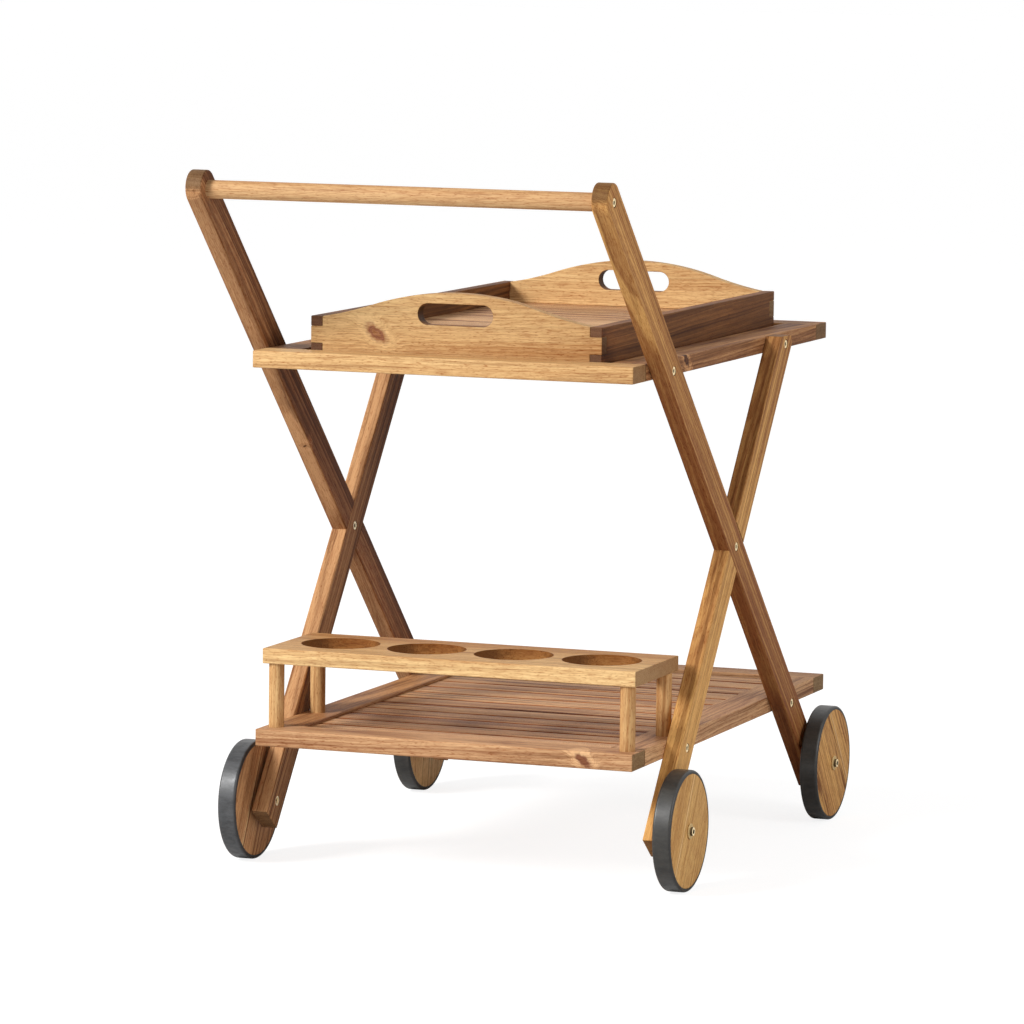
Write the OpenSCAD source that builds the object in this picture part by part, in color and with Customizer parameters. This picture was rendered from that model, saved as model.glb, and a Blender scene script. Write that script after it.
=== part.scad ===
// Bar cart with X legs on both sides, two slatted shelves, a lift-off tray and a bottle rack.
// +X is to the right along the handle, +Y points away from the handle end, +Z is up.
// The origin is on the floor under the middle of the cart.

/* [Shelf frames] */
// Width of both shelf frames
shelf_w = 490; // [400:1:640]
// Length of both shelf frames, front rail to back rail
shelf_l = 758; // [620:1:950]
// Height of the upper frame's top face above the floor
upper_h = 640; // [560:1:720]
// Height of the lower frame's top face above the floor
lower_h = 174; // [160:1:230]
// How far the lower frame stands further back than the upper one
shelf_setback = 16; // [0:1:40]
// Width of the frame rails' stock
rail_w = 45; // [40:1:60]
// Thickness of the frame rails' stock
rail_t = 21; // [20:0.5:28]
// Length of the tenons on the side rails
tenon_l = 25; // [15:1:32]
// Width of those tenons
tenon_w = 30; // [20:1:36]
// Thickness of those tenons
tenon_t = 7; // [5:0.5:7]

/* [Slats] */
// Width of one slat
slat_w = 46; // [30:1:70]
// Thickness of one slat
slat_t = 10; // [8:0.5:10]
// Least gap between two slats
slat_gap = 4.8; // [3:0.1:10]
// How far the slats lie below the frame's top face
slat_recess = 4; // [2:0.5:6]
// Depth of the grooves that hold the slats' ends
groove_depth = 7; // [5:0.5:8]

/* [Legs and handle] */
// Width of the legs' stock, seen from the side
leg_w = 42; // [36:1:50]
// Thickness of the legs' stock
leg_t = 21; // [20:0.5:28]
// Height of the handle bar's axis above the floor
handle_h = 842; // [780:1:940]
// How far the handle bar's axis is in front of the upper frame
handle_reach = 134; // [100:1:180]
// Diameter of the handle bar
handle_d = 22; // [20:0.5:30]
// Wood of the long leg past the handle bar's axis, before its round end
handle_end = 3; // [0:0.5:8]
// Wood of each leg past its axle
leg_end = 28; // [25:1:34]
// Distance of the short leg's top bolt from the upper frame's back edge
short_bolt_in = 236; // [180:1:300]
// Radius on the back corner of the short leg's level top
short_top_r = 10; // [4:1:14]

/* [Wheels] */
// Diameter over the tyres
wheel_d = 148; // [136:1:160]
// Width of the wheels
wheel_t = 23; // [18:1:30]
// Thickness of the tyre round the wooden disc
tyre_wall = 4.5; // [4:0.5:8]
// Radius on the tyre's shoulders
tyre_shoulder = 3; // [1.5:0.5:3.5]
// Distance from leg to wheel
wheel_gap = 5; // [3:0.5:12]
// Distance of the front axles from the lower frame's front edge
front_axle_in = 72; // [60:1:110]
// Distance of the rear axles from the lower frame's back edge
rear_axle_in = 108; // [80:1:150]

/* [Bottle rack] */
// Distance of the rack board's ends from the legs
rack_side_gap = 2.5; // [1:0.5:8]
// Depth of the rack board
rack_d = 158; // [150:1:175]
// Thickness of the rack board
rack_t = 19; // [16:0.5:25]
// Clear height under the rack board
rack_rise = 79; // [60:1:110]
// Distance of the rack board from the lower frame's front edge
rack_in = 15; // [12:1:18]
// Diameter of the bottle holes
bottle_d = 97; // [85:1:104]
// Distance between two bottle holes
bottle_pitch = 114; // [110:1:118]
// Least wood between the outer bottle holes and the rack board's ends
rack_end = 20; // [16:1:24]
// Diameter of the rack's dowels
dowel_d = 19; // [14:0.5:20]
// Distance of the dowels from the ends of the rack board
dowel_in_x = 14; // [12:0.5:18]
// Distance of the dowels from the front and back edges of the rack board
dowel_in_y = 13; // [12:0.5:16]
// Depth of the dowels' sockets
dowel_socket = 6; // [4:0.5:6]

/* [Tray] */
// Gap between tray and upper frame on each side
tray_gap_x = 12; // [4:1:20]
// Gap between tray and upper frame at each end
tray_gap_y = 2; // [1:0.5:6]
// Height of the tray's sides
tray_side_h = 45; // [40:1:70]
// Thickness of the tray's sides
tray_side_t = 15; // [12:0.5:20]
// Thickness of the tray's ends
tray_end_t = 18; // [14:0.5:22]
// Height of the top and bottom fingers at the tray's corners
finger_h = 12; // [8:0.5:14]
// Length of the reverse curve at each end of the arch
flare_l = 64; // [50:1:80]
// Steepest slope of the arch, in degrees
arch_slope = 18.5; // [16:0.5:24]
// Slope at the ends of the arch, in degrees
arch_end_slope = 9.5; // [4:0.5:12]
// Length of the hand slots
slot_l = 97; // [85:1:110]
// Height of the hand slots
slot_h = 26; // [22:0.5:28]
// Height of the hand slots' middle above the tray's underside
slot_z = 52.5; // [50:0.5:54]
// Thickness of the tray's floor boards
floor_t = 10; // [6:0.5:12]
// Height of the floor boards' underside above the tray's
floor_z = 8; // [5:0.5:10]
// Number of floor boards
floor_boards = 6; // [4:1:8]
// Depth of the grooves that hold the tray's floor
floor_groove = 6; // [4:0.5:8]

/* [Fasteners] */
// Diameter of the bolts through the legs
bolt_d = 6; // [5:0.5:8]
// Diameter of their heads, and of the crossing nuts
head_d = 10.5; // [9.5:0.5:13]
// Thickness of those heads
head_t = 3; // [2:0.5:3.5]
// How far the heads lie below the leg's face
head_sink = 0.5; // [0.2:0.1:1]
// Diameter of the crossing nuts' barrels
nut_barrel_d = 8.4; // [8:0.2:9]
// Width across flats of the heads' hexagon sockets
socket_af = 5; // [4:0.5:6]
// Outside diameter of the threaded inserts
insert_d = 10; // [9:0.5:11]
// Length of the threaded inserts
insert_l = 14; // [10:1:18]
// Diameter of the wheel axles
axle_d = 8; // [6:0.5:9]
// Diameter of the axles' cap heads
axle_head_d = 10.5; // [9.5:0.5:14]
// Thickness of the axles' cap heads
axle_head_t = 3.5; // [3:0.5:7]
// Diameter of the washers and spacers at the wheels
washer_d = 19; // [16:0.5:24]
// Thickness of the outer washers
washer_t = 1.5; // [1:0.5:3]
// Outside diameter of the axle nuts, sunk in the legs
axle_nut_d = 12; // [11:0.5:14]
// Length of the axle nuts
axle_nut_l = 12; // [8:1:14]

/* [Finish and fits] */
// Radius on the eased edges of the frame's wood
ease = 2; // [1:0.5:3]
// Radius on the slats' long top edges
slat_ease = 1.5; // [0.5:0.5:2]
// Radius on the wheel discs' rims
disc_ease = 0.8; // [0.4:0.2:1.4]
// Gap in glued and bolted wood joints
joint_gap = 0.1; // [0.05:0.05:0.2]
// Gap between a sunk head and its seat, all round
head_gap = 0.8; // [0.4:0.1:1]
// Gap between a bolt and its hole, all round
bolt_gap = 0.1; // [0.05:0.05:0.3]
// Running clearance of the wheels on their axles, all round
axle_play = 0.05; // [0.02:0.01:0.1]
// End play of the wheels on each face, and the tray's rest above its slats
end_play = 0.3; // [0.2:0.1:0.6]

/* [Hidden] */

acacia = "#C4935A";
acacia_dark = "#94603A";
acacia_pink = "#A67B5B";
brass = "#C9B27A";
rubber = "#33312F";

$fn = 96;
cut = 1;                     // how far a cutting solid runs past the face that it opens
round_few = 32;              // facets of the drawn circle on small rounds
round_many = 384;            // facets of the drawn circle on the arch's large radii
bolt_short = 1;              // how far a bolt or barrel ends before the end of its hole
socket_share = 0.6;          // depth of the hexagon sockets, as a share of the head

axle_h = wheel_d / 2;
half_w = shelf_w / 2;        // inner face of the legs and outer face of the frames
leg_out = half_w + leg_t;
opening_w = shelf_w - 2 * rail_w;
opening_l = shelf_l - 2 * rail_w;

// Places along the cart, counted from the upper frame's front edge
raw_handle_y = -handle_reach;
raw_lower_back = shelf_setback + shelf_l;
raw_front_y = shelf_setback + front_axle_in;
raw_rear_y = raw_lower_back - rear_axle_in;
raw_short_y = shelf_l - short_bolt_in;

// Lean of the legs, from the floor line behind them
long_lean = atan2(handle_h - axle_h, raw_handle_y - raw_rear_y);
short_lean = atan2(upper_h - rail_t / 2 - axle_h, raw_short_y - raw_front_y);

// The cart's front is the long leg's round end, and its back the furthest of frames and wheels
raw_front = raw_handle_y + handle_end * cos(long_lean) - leg_w / 2;
raw_back = max(raw_lower_back, raw_rear_y + axle_h);
mid_y = (raw_front + raw_back) / 2;

upper_y = -mid_y;            // front edge of the upper frame
lower_y = shelf_setback - mid_y;
handle_y = raw_handle_y - mid_y;
front_y = raw_front_y - mid_y;
rear_y = raw_rear_y - mid_y;
short_y = raw_short_y - mid_y;

// Distances along the legs from their axles
long_l = norm([handle_y - rear_y, handle_h - axle_h]);
short_l = norm([short_y - front_y, upper_h - rail_t / 2 - axle_h]);
function up_to(z, lean) = (z - axle_h) / sin(lean);
long_upper_u = up_to(upper_h - rail_t / 2, long_lean);
long_lower_u = up_to(lower_h - rail_t / 2, long_lean);
short_lower_u = up_to(lower_h - rail_t / 2, short_lean);

// The legs cross where both reach the same point
function cross2(a, b) = a[0] * b[1] - a[1] * b[0];
long_dir = [cos(long_lean), sin(long_lean)];
short_dir = [cos(short_lean), sin(short_lean)];
long_cross_u = cross2([front_y - rear_y, 0], short_dir) / cross2(long_dir, short_dir);
short_cross_u = cross2([rear_y - front_y, 0], long_dir) / cross2(short_dir, long_dir);

// Bolt places as [y, z] on the frames' side faces
function on_long(u) = [rear_y + u * long_dir[0], axle_h + u * long_dir[1]];
function on_short(u) = [front_y + u * short_dir[0], axle_h + u * short_dir[1]];
upper_bolts = [on_long(long_upper_u), on_short(short_l)];
lower_bolts = [on_long(long_lower_u), on_short(short_lower_u)];
handle_bolt = [handle_y, handle_h];
cross_bolt = on_long(long_cross_u);

slat_count = floor((opening_l - slat_gap) / (slat_w + slat_gap));
slat_space = (opening_l - slat_count * slat_w) / (slat_count + 1);

// The rack board fits between the legs, with as many bottle holes as it has room for
rack_w = shelf_w - 2 * rack_side_gap;
bottle_count = floor((rack_w - 2 * rack_end - bottle_d) / bottle_pitch) + 1;
rack_y = lower_y + rack_in;
rack_z = lower_h + rack_rise;
dowel_l = rack_rise + 2 * dowel_socket;

nut_barrel_l = leg_t / 2 - head_sink - head_t - bolt_short;
bolt_l = leg_t - head_sink + insert_l - bolt_short;
cross_bolt_l = leg_t - 2 * head_sink - bolt_short;
axle_l = leg_t + wheel_gap + wheel_t + end_play + washer_t + axle_head_t - 2 * bolt_short;

wheel_in = leg_out + wheel_gap;
wheel_out = wheel_in + wheel_t;
disc_r = axle_h - tyre_wall;
axle_end = wheel_out + end_play + washer_t;
wheel_spots = [[-1, front_y], [1, front_y], [-1, rear_y], [1, rear_y]];

tray_w = opening_w - 2 * tray_gap_x;
tray_l = opening_l - 2 * tray_gap_y;
tray_y = upper_y + rail_w + tray_gap_y;
tray_z = upper_h - slat_recess + end_play;
tray_in = tray_w / 2 - tray_side_t;          // inner face of the tray's sides

// The arch is a crown arc that runs tangent into a reverse arc at each end
crown_half = tray_in - flare_l;
crown_r = crown_half / sin(arch_slope);
flare_r = flare_l / (sin(arch_slope) - sin(arch_end_slope));
flare_drop = flare_r * (cos(arch_end_slope) - cos(arch_slope));
crown_drop = crown_r * (1 - cos(arch_slope));
arch_h = tray_side_h + flare_drop + crown_drop;

// Flat rectangle with round corners
module rounded_rect(w, h, r) {
    translate([r, 0]) square([w - 2 * r, h]);
    translate([0, r]) square([w, h - 2 * r]);
    for (x = [r, w - r], y = [r, h - r])
        translate([x, y]) circle(r, $fn = round_few);
}

// Bar along +X with eased long edges and square ends
module eased_bar(l, w, t) {
    rotate([90, 0, 90]) linear_extrude(l) rounded_rect(w, t, ease);
}

// Block with all its edges eased
module eased_block(l, w, t) {
    intersection() {
        eased_bar(l, w, t);
        linear_extrude(t) rounded_rect(l, w, ease);
        translate([0, w, 0]) rotate([90, 0, 0]) linear_extrude(w) rounded_rect(l, t, ease);
    }
}

// Disc about +Z with eased rims
module eased_disc(d, t, r) {
    rotate_extrude() {
        square([d / 2 - r, t]);
        translate([0, r]) square([d / 2, t - 2 * r]);
        for (z = [r, t - r])
            translate([d / 2 - r, z]) circle(r, $fn = round_few);
    }
}

// Moves a leg drawn along +X in its own plane to its place on the right side
module on_right(y, lean) {
    translate([half_w, y, axle_h]) rotate([90, 0, 90]) rotate([0, 0, lean]) children();
}

// Hole through a leg, with the sunk seat of a bolt head in the outer face
module bolt_hole(u) {
    translate([u, 0, -cut]) cylinder(h = leg_t + 2 * cut, r = bolt_d / 2 + bolt_gap);
    translate([u, 0, leg_t - head_t - head_sink])
        cylinder(h = head_t + head_sink + cut, r = head_d / 2 + head_gap);
}

// Hole for the axle, with the seat of its nut in the inner face
module axle_hole() {
    translate([0, 0, -cut]) cylinder(h = leg_t + 2 * cut, r = axle_d / 2 + bolt_gap);
    translate([0, 0, -cut]) cylinder(h = axle_nut_l + cut, r = axle_nut_d / 2 + bolt_gap);
}

// Half of the lap joint: the strip of the other leg, cut to half the thickness
module lap(u, turn, z) {
    translate([u, 0, z]) rotate([0, 0, turn])
        translate([-2 * leg_w, -leg_w / 2 - joint_gap, 0])
            cube([4 * leg_w, leg_w + 2 * joint_gap, leg_t / 2 + cut]);
}

module long_leg() {
    color(acacia_dark) difference() {
        union() {
            intersection() {
                translate([-leg_end, -leg_w / 2, 0]) eased_block(long_l + leg_end + leg_w, leg_w, leg_t);
                translate([-leg_end - cut, -leg_w, -cut])
                    cube([long_l + handle_end + leg_end + cut, 2 * leg_w, leg_t + 2 * cut]);
            }
            translate([long_l + handle_end, 0, 0]) eased_disc(leg_w, leg_t, ease);
        }
        lap(long_cross_u, short_lean - long_lean, -cut);
        for (u = [long_l, long_upper_u, long_lower_u, long_cross_u])
            bolt_hole(u);
        axle_hole();
    }
}

// Corner of the short leg's level top, outside its round
module top_corner() {
    back_v = -leg_w / 2;
    mid_v = back_v + short_top_r;
    top_u = function(v) (upper_h - axle_h - v * short_dir[0]) / short_dir[1];
    mid_u = (upper_h - axle_h - short_top_r - mid_v * short_dir[0]) / short_dir[1];
    centre = [mid_u, mid_v];
    on_top = centre + short_top_r * [short_dir[1], short_dir[0]];
    on_back = [mid_u, back_v];
    corner = [top_u(back_v), back_v];
    past = centre + 2 * (corner - centre);
    difference() {
        translate([0, 0, -cut]) linear_extrude(leg_t + 2 * cut) polygon([centre, on_back, past, on_top]);
        translate([mid_u, mid_v, -2 * cut]) cylinder(h = leg_t + 4 * cut, r = short_top_r);
    }
}

module short_leg() {
    color(acacia_dark) difference() {
        translate([-leg_end, -leg_w / 2, 0]) eased_block(short_l + leg_end + 2 * leg_w, leg_w, leg_t);
        // The top is cut level with the upper frame
        translate([(upper_h - axle_h) / short_dir[1], 0, -cut]) rotate([0, 0, -short_lean])
            translate([-3 * leg_w, 0, 0]) cube([6 * leg_w, 3 * leg_w, leg_t + 2 * cut]);
        top_corner();
        lap(short_cross_u, long_lean - short_lean, leg_t / 2);
        for (u = [short_l, short_lower_u])
            bolt_hole(u);
        translate([short_cross_u, 0, -cut]) cylinder(h = leg_t, r = nut_barrel_d / 2 + bolt_gap);
        translate([short_cross_u, 0, -cut]) cylinder(h = head_t + head_sink + cut, r = head_d / 2 + head_gap);
        axle_hole();
    }
}

module long_leg_right() {
    on_right(rear_y, long_lean) long_leg();
}

module long_leg_left() {
    mirror([1, 0, 0]) long_leg_right();
}

module short_leg_right() {
    on_right(front_y, short_lean) short_leg();
}

module short_leg_left() {
    mirror([1, 0, 0]) short_leg_right();
}

// Hole for a threaded insert, going in from the right side's outer face
module insert_hole(spot) {
    translate([half_w - insert_l - bolt_short, spot[0], spot[1]]) rotate([0, 90, 0])
        cylinder(h = insert_l + bolt_short + cut, r = insert_d / 2 + joint_gap / 2);
}

module handle_bar() {
    color(acacia) difference() {
        translate([-half_w, handle_y, handle_h]) rotate([0, 90, 0]) cylinder(h = shelf_w, d = handle_d);
        for (side = [0, 1]) mirror([side, 0, 0]) insert_hole(handle_bolt);
    }
}

// Tenon of a side rail, grown all round by a gap to cut its mortise
module tenon(gap) {
    translate([half_w - rail_w / 2 - tenon_w / 2 - gap, -cut, -rail_t / 2 - tenon_t / 2 - gap])
        cube([tenon_w + 2 * gap, tenon_l + cut + gap, tenon_t + 2 * gap]);
}

// Rail across the front or back, with its inner face on y = 0 and its top on z = 0
module cross_rail() {
    difference() {
        translate([-half_w, 0, -rail_t]) eased_block(shelf_w, rail_w, rail_t);
        for (side = [0, 1]) mirror([side, 0, 0]) tenon(joint_gap);
    }
}

// A leg bolt can come so close to a corner that its insert also goes into the cross rail
module front_rail(y, z, bolts) {
    color(acacia) difference() {
        translate([0, y + rail_w, z]) mirror([0, 1, 0]) cross_rail();
        for (side = [0, 1], spot = bolts) mirror([side, 0, 0]) insert_hole(spot);
    }
}

module back_rail(y, z, bolts) {
    color(acacia) difference() {
        translate([0, y + shelf_l - rail_w, z]) cross_rail();
        for (side = [0, 1], spot = bolts) mirror([side, 0, 0]) insert_hole(spot);
    }
}

// Right side rail between the cross rails, with its tenons, slat groove and insert holes
module side_rail(y, z, bolts) {
    color(acacia_dark) difference() {
        union() {
            translate([half_w, y + rail_w + joint_gap, z - rail_t]) rotate([0, 0, 90])
                eased_bar(opening_l - 2 * joint_gap, rail_w, rail_t);
            translate([0, y + shelf_l - rail_w, z]) tenon(0);
            translate([0, y + rail_w, z]) mirror([0, 1, 0]) tenon(0);
        }
        translate([opening_w / 2 - cut, y + rail_w - cut, z - slat_recess - slat_t - joint_gap])
            cube([groove_depth + cut, opening_l + 2 * cut, slat_t + 2 * joint_gap]);
        for (spot = bolts) insert_hole(spot);
    }
}

// Slats across one frame, held in its side rails' grooves
module slats(y, z) {
    reach = opening_w / 2 + groove_depth - end_play;
    color(acacia_pink) for (i = [0 : slat_count - 1])
        translate([-reach, y + rail_w + slat_space + i * (slat_w + slat_space), z - slat_recess - slat_t])
            eased_slat(2 * reach);
}

// Slat with its long top edges eased
module eased_slat(l) {
    rotate([90, 0, 90]) linear_extrude(l) {
        square([slat_w, slat_t - slat_ease]);
        translate([slat_ease, 0]) square([slat_w - 2 * slat_ease, slat_t]);
        for (x = [slat_ease, slat_w - slat_ease])
            translate([x, slat_t - slat_ease]) circle(slat_ease, $fn = round_few);
    }
}

module upper_front_rail() { front_rail(upper_y, upper_h, upper_bolts); }

module upper_back_rail() { back_rail(upper_y, upper_h, upper_bolts); }

module upper_side_rail_right() { side_rail(upper_y, upper_h, upper_bolts); }

module upper_side_rail_left() { mirror([1, 0, 0]) upper_side_rail_right(); }

module upper_slats() { slats(upper_y, upper_h); }

module lower_front_rail() {
    difference() {
        front_rail(lower_y, lower_h, lower_bolts);
        dowel_sockets();
    }
}

module lower_back_rail() { back_rail(lower_y, lower_h, lower_bolts); }

module lower_side_rail_right() {
    difference() {
        side_rail(lower_y, lower_h, lower_bolts);
        dowel_sockets();
    }
}

module lower_side_rail_left() { mirror([1, 0, 0]) lower_side_rail_right(); }

module lower_slats() { slats(lower_y, lower_h); }

// Puts its children at the four corners of the rack
module at_dowels() {
    for (x = [-1, 1] * (rack_w / 2 - dowel_in_x), y = [dowel_in_y, rack_d - dowel_in_y])
        translate([x, rack_y + y, lower_h - dowel_socket]) children();
}

module dowel_sockets() {
    at_dowels() translate([0, 0, -joint_gap]) cylinder(h = dowel_l + 2 * joint_gap, r = dowel_d / 2 + joint_gap / 2);
}

module rack_dowels() {
    color(acacia) at_dowels() cylinder(h = dowel_l, d = dowel_d);
}

module rack_board() {
    color(acacia) difference() {
        translate([-rack_w / 2, rack_y, rack_z]) eased_block(rack_w, rack_d, rack_t);
        for (i = [0 : bottle_count - 1])
            translate([(i - (bottle_count - 1) / 2) * bottle_pitch, rack_y + rack_d / 2, rack_z - cut])
                cylinder(h = rack_t + 2 * cut, d = bottle_d);
        dowel_sockets();
    }
}

// Bolt along +X with its head's face at x = 0 and its hexagon socket in that face
module bolt(d, l, cap_d, cap_t) {
    difference() {
        rotate([0, -90, 0]) union() {
            cylinder(h = cap_t, d = cap_d);
            cylinder(h = l, d = d);
        }
        rotate([0, -90, 0]) translate([0, 0, -cut])
            cylinder(h = cap_t * socket_share + cut, r = socket_af / sqrt(3), $fn = 6);
    }
}

// Both sides' copies of what is drawn on the right
module both_sides() {
    for (side = [0, 1]) mirror([side, 0, 0]) children();
}

module frame_bolts() {
    color(brass) both_sides() {
        for (spot = concat([handle_bolt], upper_bolts, lower_bolts))
            translate([leg_out - head_sink, spot[0], spot[1]]) bolt(bolt_d, bolt_l, head_d, head_t);
        translate([leg_out - head_sink, cross_bolt[0], cross_bolt[1]])
            bolt(bolt_d, cross_bolt_l, head_d, head_t);
    }
}

module threaded_inserts() {
    color(brass) both_sides()
        for (spot = concat([handle_bolt], upper_bolts, lower_bolts))
            translate([half_w, spot[0], spot[1]]) rotate([0, -90, 0])
                difference() {
                    cylinder(h = insert_l, d = insert_d);
                    translate([0, 0, -cut]) cylinder(h = insert_l + 2 * cut, r = bolt_d / 2 + bolt_gap);
                }
}

module crossing_nuts() {
    color(brass) both_sides()
        translate([half_w + head_sink, cross_bolt[0], cross_bolt[1]]) rotate([0, 90, 0])
            difference() {
                union() {
                    cylinder(h = head_t, d = head_d);
                    cylinder(h = head_t + nut_barrel_l, d = nut_barrel_d);
                }
                translate([0, 0, -cut])
                    cylinder(h = head_t + nut_barrel_l + 2 * cut, r = bolt_d / 2 + bolt_gap);
            }
}

// Puts its children, drawn about +X on the right side, at all four axles
module at_axles() {
    for (spot = wheel_spots)
        mirror([spot[0] < 0 ? 1 : 0, 0, 0]) translate([0, spot[1], axle_h]) children();
}

module axle_bolts() {
    color(brass) at_axles()
        translate([axle_end + axle_head_t, 0, 0])
            bolt(axle_d, axle_l, axle_head_d, axle_head_t);
}

// Ring about +X, from x = 0
module ring(d, t, bore_r) {
    rotate([0, 90, 0]) difference() {
        cylinder(h = t, d = d);
        translate([0, 0, -cut]) cylinder(h = t + 2 * cut, r = bore_r);
    }
}

module axle_washers() {
    color(brass) at_axles()
        translate([wheel_out + end_play, 0, 0]) ring(washer_d, washer_t, axle_d / 2 + bolt_gap);
}

module axle_spacers() {
    color(brass) at_axles()
        translate([leg_out, 0, 0]) ring(washer_d, wheel_gap - end_play, axle_d / 2 + bolt_gap);
}

module axle_nuts() {
    color(brass) at_axles()
        translate([half_w + head_sink, 0, 0])
            ring(axle_nut_d, axle_nut_l - head_sink, axle_d / 2 + bolt_gap);
}

// Wooden disc of one wheel, with its running bore
module wheel_disc(spot) {
    color(acacia) mirror([spot[0] < 0 ? 1 : 0, 0, 0]) translate([wheel_in, spot[1], axle_h])
        rotate([0, 90, 0]) difference() {
            eased_disc(2 * disc_r, wheel_t, disc_ease);
            translate([0, 0, -cut]) cylinder(h = wheel_t + 2 * cut, r = axle_d / 2 + axle_play);
        }
}

// Rubber tyre with a flat tread and round shoulders
module tyre(spot) {
    color(rubber) mirror([spot[0] < 0 ? 1 : 0, 0, 0]) translate([wheel_in, spot[1], axle_h])
        rotate([0, 90, 0]) rotate_extrude() difference() {
            union() {
                square([axle_h - tyre_shoulder, wheel_t]);
                translate([0, tyre_shoulder]) square([axle_h, wheel_t - 2 * tyre_shoulder]);
                for (z = [tyre_shoulder, wheel_t - tyre_shoulder])
                    translate([axle_h - tyre_shoulder, z]) circle(tyre_shoulder, $fn = round_few);
            }
            translate([0, -cut]) square([disc_r + joint_gap / 2, wheel_t + 2 * cut]);
        }
}

module wheel_disc_front_left() { wheel_disc(wheel_spots[0]); }
module wheel_disc_front_right() { wheel_disc(wheel_spots[1]); }
module wheel_disc_rear_left() { wheel_disc(wheel_spots[2]); }
module wheel_disc_rear_right() { wheel_disc(wheel_spots[3]); }
module tyre_front_left() { tyre(wheel_spots[0]); }
module tyre_front_right() { tyre(wheel_spots[1]); }
module tyre_rear_left() { tyre(wheel_spots[2]); }
module tyre_rear_right() { tyre(wheel_spots[3]); }

// Half of the arched outline, from the middle to the inner face of the right side
module arch_half() {
    intersection() {
        square([crown_half, arch_h]);
        translate([0, arch_h - crown_r]) circle(crown_r, $fn = round_many);
    }
    flare_x = crown_half + flare_r * sin(arch_slope);
    flare_z = tray_side_h + flare_drop + flare_r * cos(arch_slope);
    translate([crown_half, 0]) difference() {
        square([flare_l - joint_gap, tray_side_h + flare_drop]);
        translate([flare_x - crown_half, flare_z]) circle(flare_r, $fn = round_many);
    }
}

// Hand slot with round ends
module hand_slot() {
    translate([-slot_l / 2 + slot_h / 2, slot_z - slot_h / 2]) square([slot_l - slot_h, slot_h]);
    for (x = [-1, 1] * (slot_l - slot_h) / 2)
        translate([x, slot_z]) circle(d = slot_h);
}

// Space of the floor boards inside the tray's frame, grown by a gap to cut their grooves
module floor_space(gap) {
    translate([-tray_in - floor_groove - gap, tray_y + tray_end_t - floor_groove - gap, tray_z + floor_z - gap])
        cube([2 * (tray_in + floor_groove + gap), tray_l - 2 * (tray_end_t - floor_groove - gap), floor_t + 2 * gap]);
}

// End board from y = 0 back, with its corner tongues
module tray_end() {
    translate([0, tray_end_t, 0]) rotate([90, 0, 0]) linear_extrude(tray_end_t) difference() {
        union() {
            arch_half();
            mirror([1, 0]) arch_half();
            translate([-tray_w / 2, finger_h + joint_gap])
                square([tray_w, tray_side_h - 2 * finger_h - 2 * joint_gap]);
        }
        hand_slot();
    }
}

module tray_front_end() {
    color(acacia) difference() {
        translate([0, tray_y, tray_z]) tray_end();
        floor_space(joint_gap);
    }
}

module tray_back_end() {
    color(acacia) difference() {
        translate([0, tray_y + tray_l - tray_end_t, tray_z]) tray_end();
        floor_space(joint_gap);
    }
}

module tray_side_right() {
    color(acacia_dark) difference() {
        translate([tray_in, tray_y, tray_z]) cube([tray_side_t, tray_l, tray_side_h]);
        for (y = [tray_y - cut, tray_y + tray_l - tray_end_t - joint_gap])
            translate([tray_in - cut, y, tray_z + finger_h])
                cube([tray_side_t + 2 * cut, tray_end_t + joint_gap + cut, tray_side_h - 2 * finger_h]);
        floor_space(joint_gap);
    }
}

module tray_side_left() { mirror([1, 0, 0]) tray_side_right(); }

// Floor boards laid across the tray, edge to edge
module tray_floor() {
    floor_l = tray_l - 2 * (tray_end_t - floor_groove);
    board_l = floor_l / floor_boards;
    color(acacia_pink) for (i = [0 : floor_boards - 1])
        translate([-tray_in - floor_groove, tray_y + tray_end_t - floor_groove + i * board_l, tray_z + floor_z])
            cube([2 * (tray_in + floor_groove), board_l - (i < floor_boards - 1 ? 2 * joint_gap : 0), floor_t]);
}

long_leg_left();
long_leg_right();
short_leg_left();
short_leg_right();
handle_bar();
upper_front_rail();
upper_back_rail();
upper_side_rail_left();
upper_side_rail_right();
upper_slats();
lower_front_rail();
lower_back_rail();
lower_side_rail_left();
lower_side_rail_right();
lower_slats();
rack_board();
rack_dowels();
frame_bolts();
threaded_inserts();
crossing_nuts();
axle_bolts();
axle_washers();
axle_spacers();
axle_nuts();
wheel_disc_front_left();
wheel_disc_front_right();
wheel_disc_rear_left();
wheel_disc_rear_right();
tyre_front_left();
tyre_front_right();
tyre_rear_left();
tyre_rear_right();
tray_front_end();
tray_back_end();
tray_side_left();
tray_side_right();
tray_floor();
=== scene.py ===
# %% [markdown]
# # A wooden bar cart
# This lesson dresses a bar cart: crossed legs, two slatted shelves, a lift-off tray, a bottle
# rack and four wooden wheels with rubber tyres. The shape and the moving parts come from a
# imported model, which we load first and never move. What is left to us is what the eye reads
# as real: oiled wood, eased edges, brass-coloured hardware, rubber and soft light.

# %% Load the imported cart
import math
import bpy
import bmesh
from mathutils import Matrix, Vector


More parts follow.
